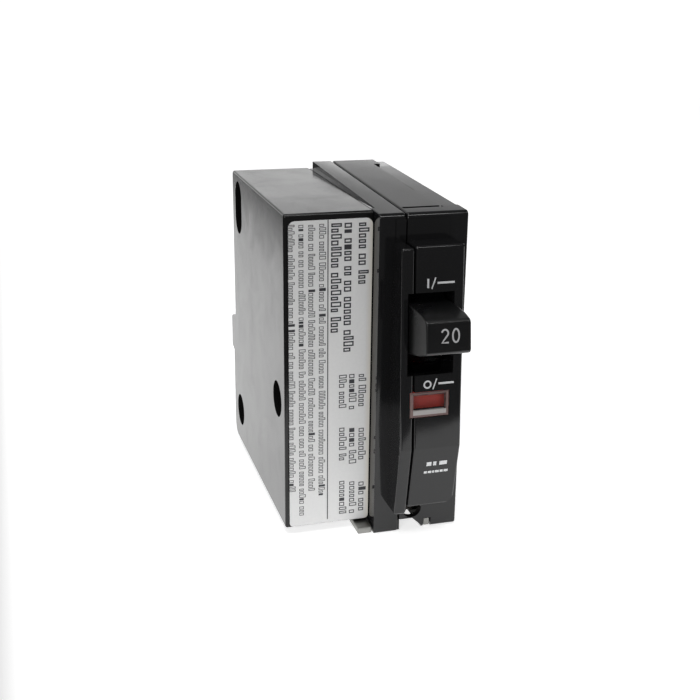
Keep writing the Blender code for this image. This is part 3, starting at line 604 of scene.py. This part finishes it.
def makeRim(name, colour, roughness, through):
    # the lens's moulded frosted rim, passing only part of the light; a paler copy is a painted
    # highlight
    made, tree, shader = newMaterial(name)
    shader.inputs["Transmission Weight"].default_value = through
    spot = addNode(tree, "TexCoord")
    grain = useGroup(tree, mouldGrain,
                     {"Roughness": roughness, "Roughness Swing": 0.08, "Dust": 0.0,
                                        "Colour": (*colour, 1), "Grain Size": 3.0})
    link(tree, spot.outputs["Object"], grain.inputs["Vector"])
    link(tree, grain.outputs["Roughness"], shader.inputs["Roughness"])
    link(tree, grain.outputs["Colour"], shader.inputs["Base Color"])
    bump = addNode(tree, "Bump", {"Strength": 0.3, "Distance": 0.00008})
    link(tree, grain.outputs["Height"], bump.inputs["Height"])
    link(tree, bump.outputs[0], shader.inputs["Normal"])
    return made


lens = {"x": (23.78, 23.95, 24.45, 31.7, 32.15, 32.32),
        "z": (28.18, 28.35, 28.75, 29.75, 33.2, 33.45, 33.62),
        "front": -11.75, "lean": 0.05, "thickness": 1.1}


def makeLens(lens):
    # a shallow tray: its face follows the case's slope and its border drops back by 0.2 mm
    x, z = np.array(lens["x"]), np.array(lens["z"])
    wide, tall = len(x), len(z)
    grid = np.zeros((wide, tall, 3))
    grid[:, :, 0], grid[:, :, 2] = x[:, None], z[None, :]
    rim = np.minimum(np.minimum(x - x[0], x[-1] - x)[:, None],
                     np.minimum(z - z[0], z[-1] - z)[None, :])
    grid[:, :, 1] = lens["front"] + (z - z[0])[None,
                                               :] * lens["lean"] + 0.22 * np.clip(1 - rim / 0.15,
                                                                                  0, 1)
    i, j = (part.ravel() for part in np.meshgrid(np.arange(wide - 1), np.arange(tall - 1),
                                                 indexing="ij"))
    first = i * tall + j
    faces = np.stack((first, first + tall, first + tall + 1, first + 1), 1)
    mesh = bpy.data.meshes.new("lensFace")
    mesh.from_pydata(place(grid.reshape(-1, 3)).tolist(), [], faces.tolist())
    # slots: 0 clear middle, 1 pinkish rim, 2 a painted highlight: a pale bar along the bottom
    inside = (i > 1) & (i < wide - 3)
    choice = np.where(inside & (j == 3), 0, np.where(inside & (j == 2), 2, 1))
    for material in (finishes["clear"], finishes["rim"], finishes["bar"]):
        mesh.materials.append(material)
    mesh.polygons.foreach_set("material_index", choice.tolist())
    piece = addPiece("lensFace", mesh, bodyOf["flag_window"], "flag_window")
    wall = piece.modifiers.new("wall", "SOLIDIFY")
    wall.thickness = lens["thickness"] * mm
    wall.offset = -1.0
    return piece


finishes["clear"] = makeClear()
finishes["rim"] = makeRim("lensRim", (0.30, 0.20, 0.19), 0.2, 0.4)
# painted highlight: the pale bar stands in for the white floor reflected in the lens's lower edge
finishes["bar"] = makeRim("lensBarPaintedHighlight", (0.60, 0.58, 0.57), 0.2, 0.3)
makeLens(lens)
print("window made")


room = {"side": 1.6, "front": -0.099, "back": 1.4, "height": 1.6, "colour": (0.8, 0.8, 0.8),
        "turn": -16.6,
        "bend": 0.30, "glow": 2.4, "glowHeight": 0.5, "paintedShadeLean": 0.0134,
        "paintedShadeEdge": (-0.073, -0.090), "paintedShadeFade": (0.7, 0.5), "paintedShadeDark": 0.95}


def makeRoom(room):
    # one sweep turned square to the camera: the floor runs back and turns up into the wall
    bend = room["bend"]
    turn = np.linspace(0, math.pi / 2, 13)
    curve = np.stack((room["back"] - bend + bend * np.sin(turn), bend - bend * np.cos(turn)), 1)
    line = np.vstack(((room["front"], 0.0), curve, (room["back"], room["height"])))
    grid = np.zeros((2, len(line), 3))
    grid[:, :, 0] = np.array((-room["side"], room["side"]))[:, None]
    grid[:, :, 1:] = line[None]
    a = math.radians(room["turn"])
    flat = grid.reshape(-1, 3) @ np.array(((math.cos(a), math.sin(a), 0),
                                           (-math.sin(a), math.cos(a), 0), (0, 0, 1)))
    count = len(line)
    faces = [(i, i + count, i + count + 1, i + 1) for i in range(count - 1)]
    mesh = bpy.data.meshes.new("studioFloor")
    mesh.from_pydata(flat.tolist(), [], faces)
    mesh.polygons.foreach_set("use_smooth", [True] * len(mesh.polygons))
    made, tree, shader = newMaterial("paperWithPaintedLight")
    shader.inputs["Roughness"].default_value = 0.9
    shader.inputs["Specular IOR Level"].default_value = 0.0
    # painted light: the paper glows, and up the wall its glow is painted in a dark band and a
    # bright band that stand in for the light behind the set
    spot = addNode(tree, "TexCoord")
    split = addNode(tree, "SeparateXYZ")
    link(tree, spot.outputs["Object"], split.inputs[0])
    ramp = addNode(tree, "ValToRGB")
    height = addNode(tree, "MapRange", {"From Min": 0.0, "From Max": room["glowHeight"]})
    link(tree, split.outputs["Z"], height.inputs["Value"])
    link(tree, height.outputs[0], ramp.inputs[0])
    stops = [(0.0, 0.305), (0.30, 0.33), (0.50, 0.28), (0.65, 0.25), (0.675, 0.34), (0.69, 0.66),
             (0.72, 0.66),
             (0.742, 0.05), (0.85, 0.03), (1.0, 0.03)]
    band = ramp.color_ramp
    while len(band.elements) < len(stops):
        band.elements.new(0.5)
    for element, (where, level) in zip(band.elements, stops):
        element.position = where
        element.color = (level, level, level, 1)
    # painted shade: a dark patch to the left, painted into the paper's colour and glow; its edge
    # runs nearly straight back, and it fades out behind the part
    across = addNode(tree, "VectorMath", {1: (1.0, room["paintedShadeLean"], 0)}, operation="DOT_PRODUCT")
    link(tree, spot.outputs["Object"], across.inputs[0])
    left = addNode(tree, "MapRange",
                   {"From Min": room["paintedShadeEdge"][0], "From Max": room["paintedShadeEdge"][1],
                    "To Min": 0.0, "To Max": room["paintedShadeDark"]})
    link(tree, across.outputs["Value"], left.inputs["Value"])
    near = addNode(tree, "MapRange",
                   {"From Min": room["paintedShadeFade"][0], "From Max": room["paintedShadeFade"][1],
                    "To Min": 0.0, "To Max": 1.0})
    link(tree, split.outputs["Y"], near.inputs["Value"])
    paintedShadeScale = mathNode(tree, "SUBTRACT", 1.0,
                    mathNode(tree, "MULTIPLY", left.outputs[0], near.outputs[0]))
    # the painted shade also darkens the paper's own colour
    paper = addNode(tree, "VectorMath", {0: room["colour"]}, operation="SCALE")
    link(tree, paintedShadeScale, paper.inputs["Scale"])
    link(tree, paper.outputs[0], shader.inputs["Base Color"])
    # the painted glow bands, dimmed by the painted shade, drive the paper's emission
    shade = addNode(tree, "VectorMath", operation="SCALE")
    link(tree, ramp.outputs[0], shade.inputs[0])
    link(tree, paintedShadeScale, shade.inputs["Scale"])
    link(tree, shade.outputs[0], shader.inputs["Emission Color"])
    shader.inputs["Emission Strength"].default_value = room["glow"]
    mesh.materials.append(made)
    floor = bpy.data.objects.new("studioFloor", mesh)
    bpy.context.scene.collection.objects.link(floor)


def addLamp(name, spot, target, size, power, colour=(1, 1, 1)):
    data = bpy.data.lights.new(name, "AREA")
    data.shape = "RECTANGLE"
    data.size, data.size_y = size
    data.energy = power
    data.color = colour
    lamp = bpy.data.objects.new(name, data)
    bpy.context.scene.collection.objects.link(lamp)
    lamp.location = spot
    lamp.rotation_mode = "QUATERNION"
    lamp.rotation_quaternion = (Vector(target) - Vector(spot)).to_track_quat("-Z", "Y")


makeRoom(room)
addLamp("topSoftbox", (-0.05, 0.0, 0.75), (0, 0, 0), (0.5, 0.4), 1.5)
addLamp("frontKey", (-0.55, -0.70, 0.30), (0, 0, 0.03), (0.3, 0.3), 2.2)
addLamp("edgeStrip", (-0.10, -0.35, 0.70), (0, 0, 0.05), (0.9, 0.07), 1.9)
surround = {"seen": 0.85, "light": 0.12}
world = bpy.data.worlds.new("studio")
bpy.context.scene.world = world
world.use_nodes = True
background = world.node_tree.nodes["Background"]
background.inputs[0].default_value = (1, 1, 1, 1)
# the room beyond the floor looks pale, but lights the plastic only dimly
seen = addNode(world.node_tree, "LightPath")
glow = mathNode(world.node_tree, "MULTIPLY", seen.outputs["Is Camera Ray"], surround["seen"])
link(world.node_tree, mathNode(world.node_tree, "ADD", glow, surround["light"]),
     background.inputs[1])

print("scene built")
